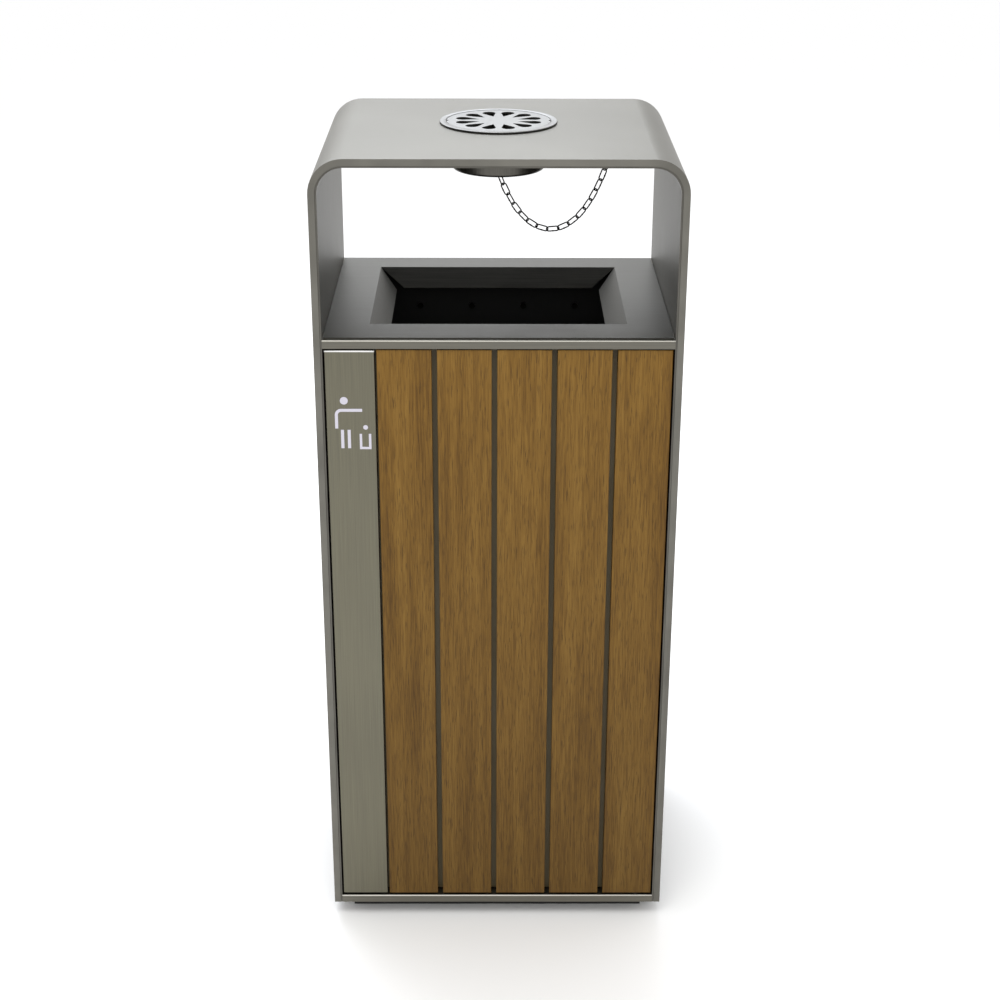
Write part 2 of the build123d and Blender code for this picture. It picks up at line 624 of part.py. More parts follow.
def liner_bucket():
    """Open-topped bucket with rounded corners, a turned-out rim and two hand holes."""
    height = LINER_TOP - LINER_BOTTOM
    body = Pos(0, LINER_CENTRE_Y, LINER_BOTTOM) * extrude(liner_outline(0), height)
    body += Pos(0, LINER_CENTRE_Y, LINER_TOP - LINER_SHEET) * extrude(liner_outline(LINER_RIM), LINER_SHEET)
    body -= Pos(0, LINER_CENTRE_Y, LINER_BOTTOM + LINER_SHEET) * extrude(liner_outline(-LINER_SHEET), height)
    hole_level = LINER_TOP - HAND_HOLE_DROP - HAND_HOLE_HEIGHT / 2
    side_plane = Plane(origin=(-WIDTH, LINER_CENTRE_Y, hole_level), x_dir=(0, 1, 0), z_dir=(1, 0, 0))
    hand_hole = SlotOverall(HAND_HOLE_WIDTH, HAND_HOLE_HEIGHT)
    return body - extrude(side_plane * hand_hole, 2 * WIDTH)


def liner_guides():
    """Two strips that keep the liner in the middle of the floor."""
    inner = LINER_WIDTH / 2 + GUIDE_GAP
    levels = (FLOOR_LEVEL, FLOOR_LEVEL + GUIDE_HEIGHT)
    outer = inner + GUIDE_SHEET
    return group(block((side * inner, side * outer), (LINER_FRONT, LINER_BACK), levels) for side in (-1, 1))


def liner_stop():
    """Low lip at the front that the liner is lifted over."""
    rear = LINER_FRONT - GUIDE_GAP
    half = LINER_WIDTH / 2 - LINER_CORNER_RADIUS
    return block((-half, half), (rear - GUIDE_SHEET, rear), (FLOOR_LEVEL, FLOOR_LEVEL + LINER_STOP_HEIGHT))


# ---- Ashtray ----

def ring(outer, inner, levels):
    """A ring round the ashtray's axis."""
    body = post(ASHTRAY_X, ASHTRAY_Y, levels, outer)
    return body - post(ASHTRAY_X, ASHTRAY_Y, (levels[0] - 1, levels[1] + 1), inner)


def ashtray_flange():
    """Pressed ring that rests on the canopy, with a recess that the grille lies in."""
    flange_levels = (HEIGHT + REST_GAP, HEIGHT + REST_GAP + FLANGE_HEIGHT)
    flange = ring(FLANGE_RADIUS, LEDGE_RADIUS, flange_levels)
    rim_edge = flange.edges().filter_by(GeomType.CIRCLE).group_by(Axis.Z)[-1].sort_by(SortBy.RADIUS)[-1]
    flange = fillet(rim_edge, FLANGE_EDGE_RADIUS)
    seat = ring(SEAT_RADIUS, LEDGE_RADIUS, (LEDGE_TOP - POT_SHEET, flange_levels[0]))
    ledge = ring(SEAT_RADIUS, POT_RADIUS - POT_SHEET, (LEDGE_TOP - POT_SHEET, LEDGE_TOP))
    return flange + seat + ledge


def ashtray_pot():
    """Cup welded under the flange, with a hole for the chain's eye."""
    top = LEDGE_TOP - POT_SHEET
    cup = post(ASHTRAY_X, ASHTRAY_Y, (POT_BOTTOM, top), POT_RADIUS)
    cup = fillet(cup.edges().filter_by(GeomType.CIRCLE).group_by(Axis.Z)[0], POT_CORNER_RADIUS)
    inside = post(ASHTRAY_X, ASHTRAY_Y, (POT_BOTTOM + POT_SHEET, top + 1), POT_RADIUS - POT_SHEET)
    inner_edge = inside.edges().filter_by(GeomType.CIRCLE).group_by(Axis.Z)[0]
    inside = fillet(inner_edge, POT_CORNER_RADIUS - POT_SHEET)
    floor = (POT_BOTTOM - 1, POT_BOTTOM + POT_SHEET + 1)
    return cup - inside - post(ASHTRAY_X, ASHTRAY_Y, floor, EYE_SHANK_RADIUS + SCREW_PLAY)


def grille_slot(angle):
    """Teardrop outline, pointed at the hub and round at the rim."""
    outer = GRILLE_RADIUS - SLOT_RIM
    centre = outer - SLOT_END_RADIUS
    span = centre - SLOT_INNER
    touch_x = SLOT_INNER + (span ** 2 - SLOT_END_RADIUS ** 2) / span
    touch_y = SLOT_END_RADIUS * sqrt(span ** 2 - SLOT_END_RADIUS ** 2) / span
    point = (SLOT_INNER, 0)
    sides = Line(point, (touch_x, touch_y)) + Line(point, (touch_x, -touch_y))
    end = ThreePointArc((touch_x, touch_y), (outer, 0), (touch_x, -touch_y))
    return Rot(0, 0, angle) * make_face(sides + end)


def ashtray_grille():
    """Round plate with teardrop slots and two finger notches."""
    plate = Circle(GRILLE_RADIUS)
    for index in range(SLOT_COUNT):
        plate -= grille_slot((index + 0.5) * 360 / SLOT_COUNT)
    for side in (-1, 1):
        plate -= Pos(side * GRILLE_RADIUS, 0) * Circle(NOTCH_RADIUS)
    place = Pos(ASHTRAY_X, ASHTRAY_Y, GRILLE_TOP - GRILLE_THICKNESS)
    return place * extrude(plate, GRILLE_THICKNESS)


# ---- Chain ----

def eye_centre(surface):
    """Level of an eye's middle, just under the surface that it hangs from."""
    return surface - EYE_RADIUS - 2 * WIRE_RADIUS


def eyebolt(x, surface, sheet, turn):
    """A wire eye on a threaded shank that goes up through a sheet, turned towards the chain."""
    centre = eye_centre(surface)
    loop = Pos(x, ASHTRAY_Y, centre) * Rot(0, 0, turn) * Rot(90, 0, 0) * Torus(EYE_RADIUS, WIRE_RADIUS)
    shank = post(x, ASHTRAY_Y, (centre + EYE_RADIUS, surface + sheet + EYE_NUT_HEIGHT), EYE_SHANK_RADIUS)
    return loop + shank


def eyebolt_nut(x, level):
    hexagon = RegularPolygon(EYE_NUT_SIZE / 2, 6, major_radius=False) - Circle(EYE_SHANK_RADIUS + SCREW_PLAY)
    return Pos(x, ASHTRAY_Y, level) * extrude(hexagon, EYE_NUT_HEIGHT)


def hanging_line(start, end, length):
    """A hanging chain's line in X and Z: returns the place and slope at a run along it."""
    span = end[0] - start[0]
    rise = end[1] - start[1]
    low, high = span / 50, span * 50
    for _ in range(60):
        sag = sqrt(low * high)
        if 2 * sag * sinh(span / (2 * sag)) > sqrt(length ** 2 - rise ** 2):
            low = sag
        else:
            high = sag
    lowest_x = (start[0] + end[0]) / 2 - sag * atanh(rise / length)
    first = sinh((start[0] - lowest_x) / sag)

    def place(run):
        steepness = first + run / sag
        x = lowest_x + sag * asinh(steepness)
        z = start[1] + sag * (sqrt(1 + steepness ** 2) - sqrt(1 + first ** 2))
        return x, z, steepness
    return place


def chain_link():
    """One link along X: two half rings joined by two straight wires."""
    bend = LINK_WIDTH / 2 - WIRE_RADIUS
    straight = LINK_INNER_LENGTH + 2 * WIRE_RADIUS - 2 * bend
    link = Part()
    reach = (-LINK_WIDTH, LINK_WIDTH)
    for side in (-1, 1):
        end = Pos(side * straight / 2, 0, 0) * Torus(bend, WIRE_RADIUS)
        link += end & block((side * straight / 2, side * (straight / 2 + LINK_WIDTH)), reach, reach)
        link += rod_x((-straight / 2, straight / 2), side * bend, 0, WIRE_RADIUS)
    return link


def ashtray_chain():
    """Links from the pot's eye to the canopy's eye, each turned a quarter from the last."""
    pitch = LINK_INNER_LENGTH - LINK_SLACK
    first_run = EYE_RADIUS + LINK_INNER_LENGTH / 2 - WIRE_RADIUS - EYE_SLACK
    start = (ASHTRAY_X, eye_centre(POT_BOTTOM))
    end = (CHAIN_ANCHOR_X, eye_centre(CANOPY_UNDERSIDE))
    length = 2 * first_run + (LINK_COUNT - 1) * pitch
    place = hanging_line(start, end, length)
    link = chain_link()
    links = []
    for index in range(LINK_COUNT):
        x, z, steepness = place(first_run + index * pitch)
        turn = LINK_TURN if index % 2 else -LINK_TURN
        turn -= LINK_TWIST * (1 - index / (LINK_COUNT - 1))
        plane = Plane(origin=(x, ASHTRAY_Y, z), x_dir=(1, 0, steepness), z_dir=(0, 1, 0))
        links.append(plane.location * Rot(turn, 0, 0) * link)
    return group(links)


# ---- All the sub-parts ----

parts = {
    "arch_outer_skin": arch_outer_skin(),
    "arch_inner_skin": arch_inner_skin(),
    "ashtray_collar": ashtray_collar(),
    "plinth": plinth(),
    "anchor_spacers": anchor_spacers(),
    "floor_pan": floor_pan(),
    "front_bottom_rail": front_rail(PLINTH_HEIGHT),
    "rear_bottom_rail": cross_rail(1, PLINTH_HEIGHT),
    "front_top_rail": front_rail(TOP_RAIL_BOTTOM),
    "rear_top_rail": cross_rail(1, TOP_RAIL_BOTTOM),
    "left_tray_rail": tray_rail(-1),
    "right_tray_rail": tray_rail(1),
    "tray_panel": tray_panel(),
    "back_panel": back_panel(),
    "back_slat_screws": slat_screws(back_slat_middles(), 1),
    "hinge_pins": hinge_pins(),
    "hinge_washer": hinge_washer(),
    "lock_barrel": lock_barrel(),
    "lock_nut": lock_nut(),
    "door_stops": door_stops(),
    "door_buffers": door_buffers(),
    "liner_guides": liner_guides(),
    "liner_stop": liner_stop(),
    "canopy_eyebolt": eyebolt(CHAIN_ANCHOR_X, CANOPY_UNDERSIDE, SKIN, -EYE_TURN),
    "canopy_eyebolt_nut": eyebolt_nut(CHAIN_ANCHOR_X, CANOPY_UNDERSIDE + SKIN),
    "ashtray_chain": ashtray_chain(),
    "ashtray_flange": ashtray_flange(),
    "ashtray_pot": ashtray_pot(),
    "ashtray_eyebolt": eyebolt(ASHTRAY_X, POT_BOTTOM, POT_SHEET, -EYE_TURN),
    "ashtray_eyebolt_nut": eyebolt_nut(ASHTRAY_X, POT_BOTTOM + POT_SHEET),
    "ashtray_grille": ashtray_grille(),
    "door_backing": door_backing(),
    "door_stiffeners": door_stiffeners(),
    "door_strip": door_strip(),
    "door_slat_screws": slat_screws(door_slat_middles(), -1),
    "hinge_blocks": hinge_blocks(),
    "door_catch": door_catch(),
    "bin_symbol": bin_symbol(),
    "lock_plug": lock_plug(),
    "lock_cam": lock_cam(),
    "lock_cam_screw": lock_cam_screw(),
    "liner_bucket": liner_bucket(),
}
for number in range(1, BACK_SLAT_COUNT + 1):
    parts[f"back_slat_{number}"] = slat(back_slat_left(number - 1), back_slat_width(), 1)
for number in range(1, SLAT_COUNT):
    parts[f"door_slat_{number}"] = slat(door_slat_left(number - 1), SLAT_WIDTH, -1)
parts[f"door_slat_{SLAT_COUNT}"] = hinge_slat()

os.makedirs("parts", exist_ok=True)
for node, shape in parts.items():
    export_step(shape, f"parts/{node}.step")
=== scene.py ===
import json
import math

import bmesh
import bpy
from mathutils import Matrix, Vector


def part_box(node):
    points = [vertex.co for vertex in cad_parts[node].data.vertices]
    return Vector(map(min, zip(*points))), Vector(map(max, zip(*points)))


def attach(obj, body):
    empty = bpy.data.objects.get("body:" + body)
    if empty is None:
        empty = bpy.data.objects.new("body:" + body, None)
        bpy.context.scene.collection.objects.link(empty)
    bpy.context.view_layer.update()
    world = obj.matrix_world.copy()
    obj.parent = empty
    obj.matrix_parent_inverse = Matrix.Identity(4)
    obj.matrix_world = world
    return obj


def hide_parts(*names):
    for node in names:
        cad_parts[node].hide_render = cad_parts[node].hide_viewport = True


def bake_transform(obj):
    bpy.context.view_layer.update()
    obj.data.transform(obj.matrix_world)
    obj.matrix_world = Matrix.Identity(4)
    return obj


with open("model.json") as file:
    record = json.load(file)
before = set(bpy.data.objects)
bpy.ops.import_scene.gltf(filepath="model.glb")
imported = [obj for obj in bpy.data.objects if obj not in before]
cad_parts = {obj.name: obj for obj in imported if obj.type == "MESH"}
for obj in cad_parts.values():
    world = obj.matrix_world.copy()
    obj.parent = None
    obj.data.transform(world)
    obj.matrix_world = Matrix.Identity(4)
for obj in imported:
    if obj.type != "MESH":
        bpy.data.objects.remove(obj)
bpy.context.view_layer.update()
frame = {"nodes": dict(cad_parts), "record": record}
scene = bpy.context.scene


# ---- Camera ----
# The view of somebody who stands two metres in front of the bin and looks down at its door
# and its tray, through a short telephoto lens.

SENSOR = 36.0                  # mm wide
LENS = 65.5                    # mm
CAMERA_PLACE = Vector((-0.0092, -2.1583, 1.4447))
CAMERA_PITCH = math.radians(23.243)
CAMERA_ROLL = math.radians(-0.162)
CAMERA_YAW = math.radians(-0.254)

camera_data = bpy.data.cameras.new("camera")
camera_data.lens = LENS
camera_data.sensor_width = SENSOR
camera = bpy.data.objects.new("camera", camera_data)
camera.location = CAMERA_PLACE
camera.rotation_euler = (math.radians(90) - CAMERA_PITCH, CAMERA_ROLL, CAMERA_YAW)
scene.collection.objects.link(camera)
scene.camera = camera


# ---- Studio ----
# A white floor that runs on to the horizon, a pale sky and two large soft lights:
# one over the back, which the canopy mirrors, and one high in front for the door.

def linear(hex_colour):
    """An sRGB colour as linear red, green, blue and alpha."""
    channels = [int(hex_colour[start:start + 2], 16) / 255 for start in (1, 3, 5)]
    return [*(c / 12.92 if c <= 0.04045 else ((c + 0.055) / 1.055) ** 2.4 for c in channels), 1.0]


def add_node(tree, kind, inputs=None, **settings):
    """Adds a shader node. An input is a value, or another node's output to link to."""
    node = tree.nodes.new(kind)
    for name, value in settings.items():
        setattr(node, name, value)
    for name, value in (inputs or {}).items():
        if isinstance(value, bpy.types.NodeSocket):
            tree.links.new(value, node.inputs[name])
        else:
            node.inputs[name].default_value = value
    return node


def new_material(name):
    """A material with an empty node tree."""
    material = bpy.data.materials.new(name)
    material.use_nodes = True
    material.node_tree.nodes.clear()
    return material


def finish_material(material, shader):
    """Adds the output, links the shader to it and returns the material."""
    add_node(material.node_tree, "ShaderNodeOutputMaterial", {"Surface": shader.outputs[0]})
    return material


def studio_floor():
    """White studio paper: matt, so that it shows a soft shadow and no mirror image."""
    material = new_material("white_paper")
    shader = add_node(material.node_tree, "ShaderNodeBsdfPrincipled",
                      {"Base Color": linear("#fafafa"), "Roughness": 0.9})
    return finish_material(material, shader)


def add_softbox(name, place, target, size, power, colour):
    """A square area light aimed at a point. Size is in metres and power in watts."""
    data = bpy.data.lights.new(name, "AREA")
    data.shape = "SQUARE"
    data.size = size
    data.energy = power
    data.color = linear(colour)[:3]
    light = bpy.data.objects.new(name, data)
    light.location = place
    light.rotation_euler = (Vector(target) - Vector(place)).to_track_quat("-Z", "Y").to_euler()
    scene.collection.objects.link(light)


FLOOR_HALF = 20.0              # metres
SKY_STRENGTH = 1.08            # a little over white, so that the far floor fades into it

floor_mesh = bpy.data.meshes.new("studio_floor")
grid = bmesh.new()
bmesh.ops.create_grid(grid, x_segments=2, y_segments=2, size=FLOOR_HALF)
grid.to_mesh(floor_mesh)
grid.free()
floor = bpy.data.objects.new("studio_floor", floor_mesh)
floor_mesh.materials.append(studio_floor())
scene.collection.objects.link(floor)

world = bpy.data.worlds.new("pale_sky")
world.use_nodes = True
sky = world.node_tree.nodes["Background"]
sky.inputs["Color"].default_value = linear("#fbfbfb")
sky.inputs["Strength"].default_value = SKY_STRENGTH
scene.world = world
scene.view_settings.view_transform = "Standard"

add_softbox("back_softbox", place=(-0.5, 1.7, 2.9), target=(0.0, 0.0, 0.9), size=2.4, power=62.0,
            colour="#f2f7ff")
add_softbox("front_softbox", place=(-0.3, -1.3, 2.7), target=(0.0, 0.0, 0.7), size=1.0, power=15.0,
            colour="#fffdf6")


# ---- Arch ----
# Two skins of brushed stainless sheet, bent over in one piece and folded in along their
# edges. The brushing runs the length of the sheet, up the sides and across the canopy.

TILTED_UPWARDS = (0.5, 0.95)   # a normal's Z on an eased edge, not on a flat top
CLOUD_SCALE = 5.0              # per metre: faint clouds a hand wide, left by the mill's rollers
CLOUD_SHARE = 0.3              # of the clouds in the tone, against one of the brush lines
TONE_RANGE = (0.45, 0.85)      # the usual values of the two together
LINE_DEPTH = 0.0002            # metres
NOISE_LOW = 0.3                # most of a noise's values lie between these two
NOISE_HIGH = 0.7
HIGHLIGHT_METAL = 0.3             # metallic value of a painted highlight on an edge, so that it stays pale from any side


def brushed_steel(name, light, dark, roughness, stroke, seed=0.0, edge=None, fold=None):
    """Brushed stainless steel: fine lines in tone and gloss that blur what it mirrors, over
    faint clouds. Stroke is a brush line's size along X, Y and Z in millimetres, drawn a little
    coarser than the real 0.2 mm so that it shows. Edge is the colour of a painted highlight
    along the edges: a fold between two heights in metres, or else every rounded edge that is
    tilted upwards. Flat tops keep the sheet's own colour."""
    material = new_material(name)
    tree = material.node_tree
    place = add_node(tree, "ShaderNodeTexCoord").outputs["Object"]
    scale = [1000 / size for size in stroke]
    strokes = add_node(tree, "ShaderNodeMapping", {
        "Vector": place, "Location": (seed, seed, seed), "Scale": scale})
    lines = add_node(tree, "ShaderNodeTexNoise", {
        "Vector": strokes.outputs[0], "Scale": 1.0, "Detail": 3.0, "Roughness": 0.6})
    clouds = add_node(tree, "ShaderNodeTexNoise", {"Vector": place, "Scale": CLOUD_SCALE, "Detail": 2.0})
    both = add_node(tree, "ShaderNodeMath", {
        0: clouds.outputs[0], 1: CLOUD_SHARE, 2: lines.outputs[0]}, operation="MULTIPLY_ADD")
    share = add_node(tree, "ShaderNodeMapRange", {
        "Value": both.outputs[0], "From Min": TONE_RANGE[0], "From Max": TONE_RANGE[1]})
    tone = add_node(tree, "ShaderNodeValToRGB", {"Fac": share.outputs[0]})
    tone.color_ramp.elements[0].color = linear(dark)
    tone.color_ramp.elements[1].color = linear(light)
    rough = add_node(tree, "ShaderNodeMapRange", {
        "Value": lines.outputs[0], "From Min": NOISE_LOW, "From Max": NOISE_HIGH,
        "To Min": roughness - 0.05, "To Max": roughness + 0.07})
    bump = add_node(tree, "ShaderNodeBump", {
        "Height": lines.outputs[0], "Strength": 0.25, "Distance": LINE_DEPTH})
    shader = add_node(tree, "ShaderNodeBsdfPrincipled", {
        "Base Color": tone.outputs[0], "Metallic": 1.0, "Roughness": rough.outputs[0],
        "Normal": bump.outputs[0]})
    # Painted highlight: on the fold, or on the upward-tilted rounded edges, the edge colour takes over
    # and the metal is turned down.
    if edge:
        normal = add_node(tree, "ShaderNodeNewGeometry").outputs["Normal"]
        upward = add_node(tree, "ShaderNodeSeparateXYZ", {"Vector": normal}).outputs["Z"]
        height = add_node(tree, "ShaderNodeSeparateXYZ", {"Vector": place}).outputs["Z"]
        low, high = fold or TILTED_UPWARDS
        near = add_node(tree, "ShaderNodeMath", {
            0: height if fold else upward, 1: (low + high) / 2, 2: (high - low) / 2},
            operation="COMPARE")
        tilted = add_node(tree, "ShaderNodeMath", {0: upward, 1: TILTED_UPWARDS[1]},
                          operation="LESS_THAN")
        painted_highlight = add_node(tree, "ShaderNodeMath", {0: near.outputs[0], 1: tilted.outputs[0]},
                        operation="MULTIPLY")
        colour = add_node(tree, "ShaderNodeMix", {
            0: painted_highlight.outputs[0], 6: tone.outputs[0], 7: linear(edge)}, data_type="RGBA")
        metal = add_node(tree, "ShaderNodeMath", {0: painted_highlight.outputs[0], 1: HIGHLIGHT_METAL - 1, 2: 1.0},
                         operation="MULTIPLY_ADD")
        tree.links.new(colour.outputs[2], shader.inputs["Base Color"])
        tree.links.new(metal.outputs[0], shader.inputs["Metallic"])
    return finish_material(material, shader)


def paint(node, material):
    """Gives a CAD node its finish."""
    slots = frame["nodes"][node].data.materials
    slots.clear()
    slots.append(material)


def body_of(node):
    """The moving body that a CAD node belongs to."""
    bodies = frame["record"]["behaviour"]["bodies"]
    return next(body for body, members in bodies.items() if node in members)


MERGE = 0.00001                # metres: the same point, to the nearest 0.01 mm


def smooth_copy(node, material, crease=30.0):
    """A merged copy of a CAD node, in its place, shaded smooth up to the crease in degrees."""
    shell = bmesh.new()
    shell.from_mesh(frame["nodes"][node].data)
    bmesh.ops.remove_doubles(shell, verts=shell.verts, dist=MERGE)
    mesh = bpy.data.meshes.new(node + "_smooth")
    shell.to_mesh(mesh)
    shell.free()
    mesh.shade_smooth()
    mesh.set_sharp_from_angle(angle=math.radians(crease))
    mesh.materials.clear()
    mesh.materials.append(material)
    piece = bpy.data.objects.new(node + "_smooth", mesh)
    scene.collection.objects.link(piece)
    weighted = piece.modifiers.new("even_normals", "WEIGHTED_NORMAL")
    weighted.keep_sharp = True
    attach(piece, body_of(node))
    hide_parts(node)


ARCH_STROKE = (90.0, 0.9, 90.0)   # mm: long up the sides and across the top, fine front to back
# A light warm grey that takes the sky softly on top and greys down the sides, and a darker
# shade of it inside as painted shade, for the lining that gets less light.
outer_steel = brushed_steel("brushed_stainless_sheet", "#7b7972", "#67655f", 0.42, ARCH_STROKE)
shaded_inner_steel = brushed_steel("brushed_stainless_lining", "#6b6963", "#53514c", 0.44, ARCH_STROKE, seed=2.0)
smooth_copy("arch_outer_skin", outer_steel)
smooth_copy("arch_inner_skin", shaded_inner_steel)
paint("ashtray_collar", shaded_inner_steel)


# ---- Rails ----
# Square-cut stainless tubes between the side walls, brushed along their length, with
# their exposed edges eased and given a painted highlight.

RAIL_STROKE = (90.0, 0.9, 0.9)    # mm: long from side to side
# Level, fine lines under a painted highlight on the edges, which draws a pale line over and under the
# door.
rail_steel = brushed_steel("brushed_stainless_tube", "#77746b", "#696760", 0.40, RAIL_STROKE, seed=3.0,
                           edge="#c4c2ba")
for rail in ("front_top_rail", "rear_top_rail", "front_bottom_rail", "rear_bottom_rail"):
    smooth_copy(rail, rail_steel)


# ---- Tray ----
# One stainless sheet with the throw-in opening cut out and its four flaps folded down,
# which lies on a rail along each side wall. It is brushed from side to side.

# The darkest sheet of the bin: painted shade, for the shade it lies in under the canopy.
shaded_tray_steel = brushed_steel("brushed_stainless_tray", "#5d5c57", "#4c4b47", 0.42, RAIL_STROKE, seed=7.0)
for sheet in ("tray_panel", "left_tray_rail", "right_tray_rail"):
    paint(sheet, shaded_tray_steel)


# ---- Plinth, floor and backing sheets ----
# Folded mild steel, zinc primed and powder coated: near black under and inside the bin,
# which stands as painted shade there, and an olive brown behind the slats.

PEEL_DEPTH = 0.0002            # metres
DUST_SCALE = 9.0               # per metre


def powder_coat(name, colour, roughness, peel):
    """Matt powder coat, which takes no clear reflections. Peel is the size of its orange-peel
    ripple in millimetres, and dust makes some hand-wide patches duller than others."""
    material = new_material(name)
    tree = material.node_tree
    place = add_node(tree, "ShaderNodeTexCoord").outputs["Object"]
    ripple = add_node(tree, "ShaderNodeTexNoise", {"Vector": place, "Scale": 1000 / peel, "Detail": 2.0})
    dust = add_node(tree, "ShaderNodeTexNoise", {
        "Vector": place, "Scale": DUST_SCALE, "Detail": 3.0})
    rough = add_node(tree, "ShaderNodeMapRange", {
        "Value": dust.outputs[0], "From Min": NOISE_LOW, "From Max": NOISE_HIGH,
        "To Min": roughness - 0.08, "To Max": roughness + 0.08})
    bump = add_node(tree, "ShaderNodeBump", {
        "Height": ripple.outputs[0], "Strength": 0.2, "Distance": PEEL_DEPTH})
    shader = add_node(tree, "ShaderNodeBsdfPrincipled", {
        "Base Color": linear(colour), "Roughness": rough.outputs[0], "Normal": bump.outputs[0]})
    return finish_material(material, shader)


# Near black as painted shade, so that the plinth and the inside sink into shadow, and an
# olive brown that shows as a thin line between two slats.
shade_black_coat = powder_coat("black_coat_painted_shade", "#121211", 0.6, 2.0)
olive_coat = powder_coat("olive_brown_powder_coat", "#5f5438", 0.5, 2.0)
for sheet in ("plinth", "floor_pan", "liner_guides", "liner_stop", "back_panel", "door_stops"):
    paint(sheet, shade_black_coat)
for sheet in ("door_backing", "door_stiffeners", "door_catch"):
    paint(sheet, olive_coat)


# ---- Slats ----
# Planed boards with eased edges, oiled to a teak colour, with the grain up the board:
# five on the door and six on the back, screwed on from inside.

PORE_START = 0.59              # a noise's value where a pore begins
PORE_FULL = 0.66
PORE_SHARE = 0.55              # of the pore's colour in the deepest pore
FOOT_SHADE_TONE = 0.62                # tone at the foot: painted shade that darkens the boards towards the bottom, against 1 higher up
SHADE_FADE_HEIGHT = 0.75              # metres
GRAIN_DEPTH = 0.0004           # metres


def oiled_wood(name):
    """Oiled teak-coloured board with its grain along Z: broad bands, fine streaks and dark
    pores, in an oil finish that is too thin to shine. The pores are drawn about three times
    as wide as real ones so that they show."""
    material = new_material(name)
    tree = material.node_tree
    place = add_node(tree, "ShaderNodeTexCoord").outputs["Object"]

    def streaks(width, length, detail, shift):
        """Noise in streaks of the given width and length, in millimetres."""
        scale = (1000 / width, 1000 / width, 1000 / length)
        mapped = add_node(tree, "ShaderNodeMapping", {
            "Vector": place, "Location": (shift, 0, shift), "Scale": scale})
        return add_node(tree, "ShaderNodeTexNoise", {
            "Vector": mapped.outputs[0], "Scale": 1.0, "Detail": detail, "Distortion": 0.35})

    bands = streaks(width=19.0, length=380.0, detail=2.0, shift=0.0)
    grain = streaks(width=1.7, length=46.0, detail=4.0, shift=5.0)
    pores = streaks(width=0.9, length=19.0, detail=1.0, shift=9.0)
    mixed = add_node(tree, "ShaderNodeMix", {
        "Factor": 0.55, "A": bands.outputs[0], "B": grain.outputs[0]})
    tone = add_node(tree, "ShaderNodeValToRGB", {"Fac": mixed.outputs[0]})
    tone.color_ramp.elements[0].position = 0.32
    tone.color_ramp.elements[0].color = linear("#583c0f")
    tone.color_ramp.elements[1].position = 0.68
    tone.color_ramp.elements[1].color = linear("#87662c")
    middle = tone.color_ramp.elements.new(0.5)
    middle.color = linear("#74541e")
    dark = add_node(tree, "ShaderNodeMapRange", {
        "Value": pores.outputs[0], "From Min": PORE_START, "From Max": PORE_FULL,
        "To Min": 0.0, "To Max": PORE_SHARE})
    colour = add_node(tree, "ShaderNodeMix", {
        0: dark.outputs[0], 6: tone.outputs[0], 7: linear("#432e10")}, data_type="RGBA")
    # Painted shade: the boards darken towards the foot, for the light that falls from above.
    height = add_node(tree, "ShaderNodeSeparateXYZ", {"Vector": place}).outputs["Z"]
    foot_shade = add_node(tree, "ShaderNodeMapRange", {
        "Value": height, "From Min": 0.0, "From Max": SHADE_FADE_HEIGHT, "To Min": FOOT_SHADE_TONE, "To Max": 1.0})
    foot_shaded = add_node(tree, "ShaderNodeMix", {0: 1.0, 6: colour.outputs[2], 7: foot_shade.outputs[0]},
                         data_type="RGBA", blend_type="MULTIPLY")
    rough = add_node(tree, "ShaderNodeMapRange", {
        "Value": grain.outputs[0], "From Min": NOISE_LOW, "From Max": NOISE_HIGH,
        "To Min": 0.48, "To Max": 0.62})
    bump = add_node(tree, "ShaderNodeBump", {
        "Height": grain.outputs[0], "Strength": 0.3, "Distance": GRAIN_DEPTH})
    shader = add_node(tree, "ShaderNodeBsdfPrincipled", {
        "Base Color": foot_shaded.outputs[2], "Roughness": rough.outputs[0], "Normal": bump.outputs[0],
        "Specular IOR Level": 0.22})
    return finish_material(material, shader)


board = oiled_wood("oiled_teak_board")
slats = [node for node in frame["nodes"] if "_slat_" in node and "screws" not in node]
for slat in slats:
    smooth_copy(slat, board)


# ---- Door strip and symbol ----
# The plain steel strip on the door's lock side, brushed up and down, with a pictogram
# of a person dropping litter cut from white film.

STRIP_STROKE = (0.7, 0.7, 120.0)  # mm: long up and down
STRIP_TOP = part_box("door_strip")[1][2]
STRIP_HIGHLIGHT_DROP = 0.0018            # how far down its folded top the painted highlight runs

# A faintly yellow steel with upright lines, under one thin white line at its top, a painted highlight.
strip_steel = brushed_steel("brushed_stainless_strip", "#787565", "#69665a", 0.38, STRIP_STROKE,
                            seed=11.0, edge="#f0f0ee",
                            fold=(STRIP_TOP - STRIP_HIGHLIGHT_DROP, STRIP_TOP + STRIP_HIGHLIGHT_DROP))
smooth_copy("door_strip", strip_steel)


FILM_RIPPLES = 300.0           # per metre
RIPPLE_DEPTH = 0.0002          # metres


def white_film():
    """White cast vinyl film, thin and nearly flat, with a soft satin shine."""
    material = new_material("white_vinyl_film")
    tree = material.node_tree
    place = add_node(tree, "ShaderNodeTexCoord").outputs["Object"]
    ripple = add_node(tree, "ShaderNodeTexNoise", {"Vector": place, "Scale": FILM_RIPPLES})
    bump = add_node(tree, "ShaderNodeBump", {
        "Height": ripple.outputs[0], "Strength": 0.05, "Distance": RIPPLE_DEPTH})
    shader = add_node(tree, "ShaderNodeBsdfPrincipled", {
        "Base Color": linear("#c6c3cf"), "Roughness": 0.4, "Normal": bump.outputs[0]})
    return finish_material(material, shader)


paint("bin_symbol", white_film())


# ---- Ashtray ----
# A spun stainless cup and flange, satin polished, with a pierced plate lying loose in its
# recess. The inside of the cup is painted near black, for ash and painted shade, and painted
# shade darkens the gap round the plate and the upright walls.

